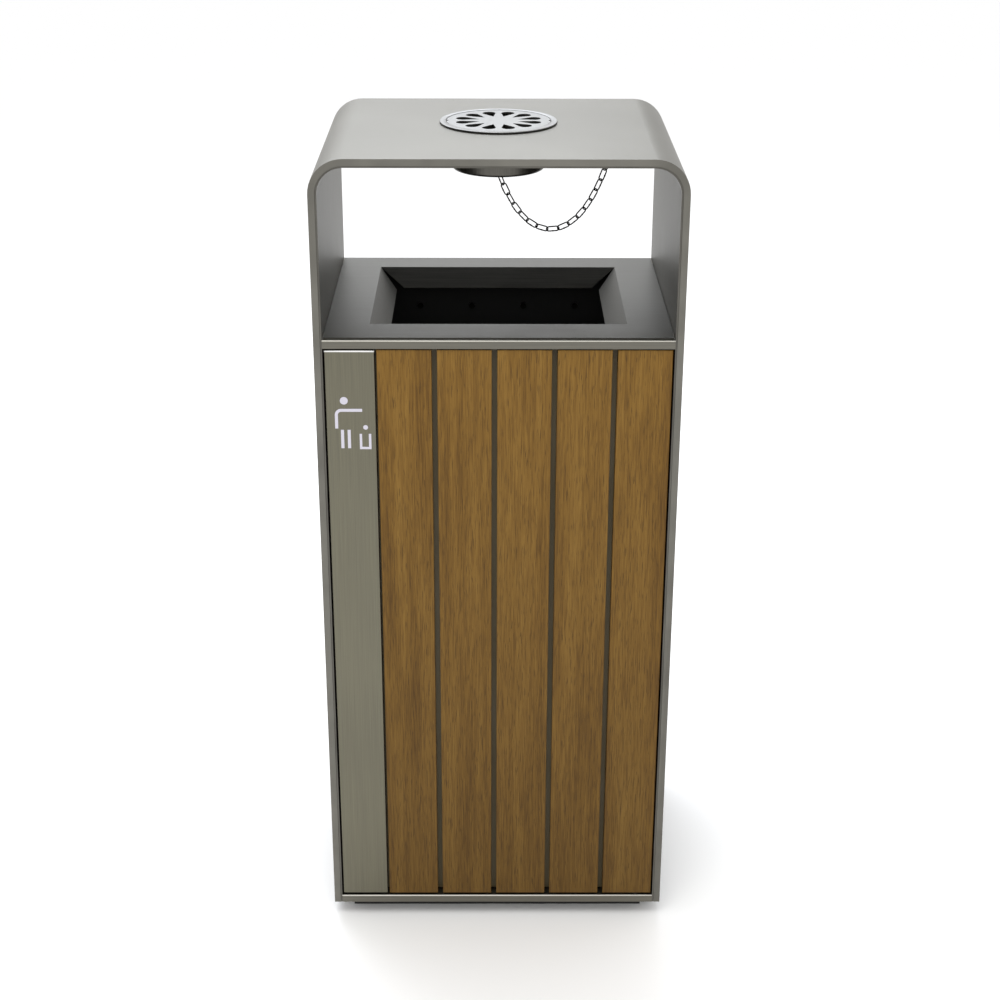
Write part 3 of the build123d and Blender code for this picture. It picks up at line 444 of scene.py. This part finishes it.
ASHTRAY_Y = 0.025
PLATE_GAP_RADIUS = 0.0627      # between the plate and the flange
PLATE_GAP_HALF = 0.0006
CUP_INSIDE_RADIUS = 0.0552
UPRIGHT_WALL = 0.3             # a normal's Z, up to which a wall is all painted shade
UNSHADED_SLOPE = 0.6              # and from which a face has none


def ash_and_painted_shade(name, light, dark, roughness, stroke, seed, dark_band, walls):
    """Brushed steel with a matt near black on it, which hides the metal's shine, between two radii in
    metres, and on upright walls if asked: ash in the cup, and painted shade in the cup, in the
    gap and on the walls."""
    material = brushed_steel(name, light, dark, roughness, stroke, seed=seed)
    tree = material.node_tree
    shader = next(node for node in tree.nodes if node.type == "BSDF_PRINCIPLED")
    undarkened = shader.inputs["Base Color"].links[0].from_socket
    place = add_node(tree, "ShaderNodeTexCoord").outputs["Object"]
    centred = add_node(tree, "ShaderNodeMapping", {
        "Vector": place, "Location": (0, -ASHTRAY_Y, 0), "Scale": (1, 1, 0)})
    radius = add_node(tree, "ShaderNodeVectorMath", {0: centred.outputs[0]}, operation="LENGTH")
    low, high = dark_band
    ash_and_shade = add_node(tree, "ShaderNodeMath", {
        0: radius.outputs["Value"], 1: (low + high) / 2, 2: (high - low) / 2}, operation="COMPARE")
    if walls:
        normal = add_node(tree, "ShaderNodeNewGeometry").outputs["Normal"]
        upward = add_node(tree, "ShaderNodeSeparateXYZ", {"Vector": normal}).outputs["Z"]
        upright = add_node(tree, "ShaderNodeMapRange", {
            "Value": upward, "From Min": UPRIGHT_WALL, "From Max": UNSHADED_SLOPE,
            "To Min": 1.0, "To Max": 0.0})
        ash_and_shade = add_node(tree, "ShaderNodeMath", {0: ash_and_shade.outputs[0], 1: upright.outputs[0]},
                       operation="MAXIMUM")
    # Matt near black: painted shade in the gap, on the walls and in the cup, and ash in the cup.
    colour = add_node(tree, "ShaderNodeMix", {0: ash_and_shade.outputs[0], 6: undarkened, 7: linear("#1b1a18")},
                      data_type="RGBA")
    metal = add_node(tree, "ShaderNodeMath", {0: 1.0, 1: ash_and_shade.outputs[0]}, operation="SUBTRACT")
    tree.links.new(colour.outputs[2], shader.inputs["Base Color"])
    tree.links.new(metal.outputs[0], shader.inputs["Metallic"])
    return material


PLATE_STROKE = (1.2, 1.2, 1.2)    # mm: a fine even grain
POT_STROKE = (1.2, 1.2, 60.0)     # mm: long up and down

# The brightest steel of the bin with no clear lines, so that its slots, black with painted
# shade, stand out, and a darker cup below it.
satin = ash_and_painted_shade("satin_stainless", "#969695", "#80807f", 0.36, PLATE_STROKE, seed=13.0,
                    dark_band=(PLATE_GAP_RADIUS - PLATE_GAP_HALF, PLATE_GAP_RADIUS + PLATE_GAP_HALF),
                    walls=True)
for part in ("ashtray_flange", "ashtray_grille"):
    smooth_copy(part, satin)
pot_steel = ash_and_painted_shade("spun_stainless_pot", "#6b6963", "#5a5853", 0.4, POT_STROKE, seed=17.0,
                        dark_band=(-0.001, CUP_INSIDE_RADIUS), walls=False)
smooth_copy("ashtray_pot", pot_steel)


# ---- Chain ----
# Eighteen welded links of dark steel wire that hang between an eye under the pot and one
# under the canopy, so that the ashtray can't be carried off.

WIRE = 0.00085                 # radius, metres
WELD_SHARE = 1.3               # of the wire's radius, for the bead that closes a link
LINK_INSIDE = 0.0138           # length inside a link
LINK_OUTSIDE_WIDTH = 0.0084
LINK_PITCH = 0.0135
LINK_COUNT = 18
LINK_TURN = 36.0               # degrees about the chain's line, one way and then the other
LINK_TWIST = 22.0              # more turn at the pot's end
END_RUN = 0.00915              # from an eye's middle to the first link's middle
WIRE_SIDES = 10
BEND_STEPS = 9
EYE_HALF = 0.00485             # half an eye's height
pot_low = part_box("ashtray_eyebolt")[0]
eye_low, eye_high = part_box("canopy_eyebolt")
chain_start = Vector((0.0, ASHTRAY_Y, pot_low[2] + EYE_HALF))
chain_end = Vector(((eye_low[0] + eye_high[0]) / 2, ASHTRAY_Y, eye_low[2] + EYE_HALF))


def chain_line(start, end, length):
    """A hanging chain's line, as a function that gives the place and slope at a run along it.
    Its width of curve is found by halving."""
    span = end.x - start.x
    rise = end.z - start.z
    low = span / 50
    high = span * 50
    for _ in range(60):
        sag = math.sqrt(low * high)
        if 2 * sag * math.sinh(span / (2 * sag)) > math.sqrt(length ** 2 - rise ** 2):
            low = sag
        else:
            high = sag
    lowest_x = (start.x + end.x) / 2 - sag * math.atanh(rise / length)
    first = math.sinh((start.x - lowest_x) / sag)

    def place(run):
        slope = first + run / sag
        x = lowest_x + sag * math.asinh(slope)
        z = start.z + sag * (math.sqrt(1 + slope ** 2) - math.sqrt(1 + first ** 2))
        return Vector((x, start.y, z)), slope
    return place


def draw_on(wire, ends, shift):
    """Draws the open end of a wire on by a straight length, and returns its new end."""
    drawn = bmesh.ops.extrude_edge_only(wire, edges=ends)["geom"]
    points = [item for item in drawn if isinstance(item, bmesh.types.BMVert)]
    bmesh.ops.translate(wire, vec=shift, verts=points)
    return [item for item in drawn if isinstance(item, bmesh.types.BMEdge) and
            all(point in points for point in item.verts)]


def bend_on(wire, ends, centre):
    """Bends the open end of a wire half a turn round a point, and returns its new end."""
    geometry = ends + list({point for edge in ends for point in edge.verts})
    bent = bmesh.ops.spin(wire, geom=geometry, cent=centre, axis=(0, 0, 1), dvec=(0, 0, 0),
                          angle=math.pi, steps=BEND_STEPS, use_merge=False, use_duplicate=False)
    return [item for item in bent["geom_last"] if isinstance(item, bmesh.types.BMEdge)]


def chain_link():
    """One link round the origin, long along X and flat on Z, with its weld on one side."""
    bend = LINK_OUTSIDE_WIDTH / 2 - WIRE
    straight = LINK_INSIDE + 2 * WIRE - 2 * bend
    wire = bmesh.new()
    start = Matrix.Translation((straight / 2, bend, 0)) @ Matrix.Rotation(math.pi / 2, 4, "Y")
    bmesh.ops.create_circle(wire, cap_ends=False, radius=WIRE, segments=WIRE_SIDES, matrix=start)
    ends = draw_on(wire, list(wire.edges), (-straight, 0, 0))
    ends = bend_on(wire, ends, (-straight / 2, 0, 0))
    ends = draw_on(wire, ends, (straight, 0, 0))
    bend_on(wire, ends, (straight / 2, 0, 0))
    bmesh.ops.remove_doubles(wire, verts=wire.verts, dist=MERGE)
    bmesh.ops.recalc_face_normals(wire, faces=wire.faces)
    bead = bmesh.ops.create_uvsphere(wire, u_segments=10, v_segments=6, radius=WIRE * WELD_SHARE)
    weld = bead["verts"]
    bmesh.ops.scale(wire, vec=(WELD_SHARE, 1.0, 1.0), verts=weld)
    bmesh.ops.translate(wire, vec=(0, bend, 0), verts=weld)
    mesh = bpy.data.meshes.new("chain_link")
    wire.to_mesh(mesh)
    wire.free()
    return mesh


chain_length = 2 * END_RUN + (LINK_COUNT - 1) * LINK_PITCH
hang = chain_line(chain_start, chain_end, chain_length)
link_mesh = chain_link()
links = bmesh.new()
for index in range(LINK_COUNT):
    place, slope = hang(END_RUN + index * LINK_PITCH)
    along = Vector((1, 0, slope)).normalized()
    level = Vector((0, 1, 0))
    stand = Matrix((along, level.cross(along), level)).transposed().to_4x4()
    turn = LINK_TURN if index % 2 else -LINK_TURN
    turn -= LINK_TWIST * (1 - index / (LINK_COUNT - 1))
    before = len(links.verts)
    links.from_mesh(link_mesh)
    links.verts.ensure_lookup_table()
    move = Matrix.Translation(place) @ stand @ Matrix.Rotation(math.radians(turn), 4, "X")
    bmesh.ops.transform(links, matrix=move, verts=links.verts[before:])
chain_mesh = bpy.data.meshes.new("hanging_chain")
links.to_mesh(chain_mesh)
links.free()
bpy.data.meshes.remove(link_mesh)
chain_mesh.shade_smooth()
chain = bpy.data.objects.new("hanging_chain", chain_mesh)
scene.collection.objects.link(chain)

# Almost black, so that every link stands out against the light.
chain_steel = brushed_steel("dark_steel_wire", "#32302d", "#262422", 0.35, (2.0, 2.0, 2.0), seed=19.0)
chain_mesh.materials.append(chain_steel)
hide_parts("ashtray_chain")
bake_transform(chain)


# ---- Fixings and lock ----
# Blackened screws and eyes, hinge parts painted near black as painted shade, zinc-plated
# nuts, cam and floor spacers, and a chromed lock that a three-sided key turns.

# A cool bluish grey with a soft shine.
zinc = brushed_steel("zinc_plated_steel", "#a9acae", "#93979b", 0.38, (3.0, 3.0, 3.0), seed=23.0)
for part in ("ashtray_eyebolt", "canopy_eyebolt"):
    smooth_copy(part, chain_steel, crease=60.0)
# The hinge parts take the near black as painted shade, for the gap under the door where they sit.
for part in ("back_slat_screws", "door_slat_screws", "hinge_pins", "hinge_blocks", "hinge_washer"):
    paint(part, chain_steel)
for part in ("ashtray_eyebolt_nut", "canopy_eyebolt_nut", "anchor_spacers", "lock_nut", "lock_cam",
             "lock_cam_screw"):
    paint(part, zinc)

# Smooth and near white, so that the lock is the one clear mirror on the side wall.
chrome = brushed_steel("chromed_zinc", "#c9cacb", "#c0c1c3", 0.16, (4.0, 4.0, 4.0), seed=29.0)
for part in ("lock_barrel", "lock_plug"):
    smooth_copy(part, chrome)


# ---- Liner and buffers ----
# A folded steel bucket, powder coated black and partly painted shade for the dark inside of
# the bin, that stands between its guides, and the moulded rubber buffers that the door closes against.

# Two blacks: a faint sheen on the bucket, whose black is partly painted shade, and none on the rubber.
shaded_liner_coat = powder_coat("black_liner_coat", "#141414", 0.5, 2.5)
smooth_copy("liner_bucket", shaded_liner_coat)
paint("door_buffers", powder_coat("black_rubber", "#161616", 0.75, 1.0))
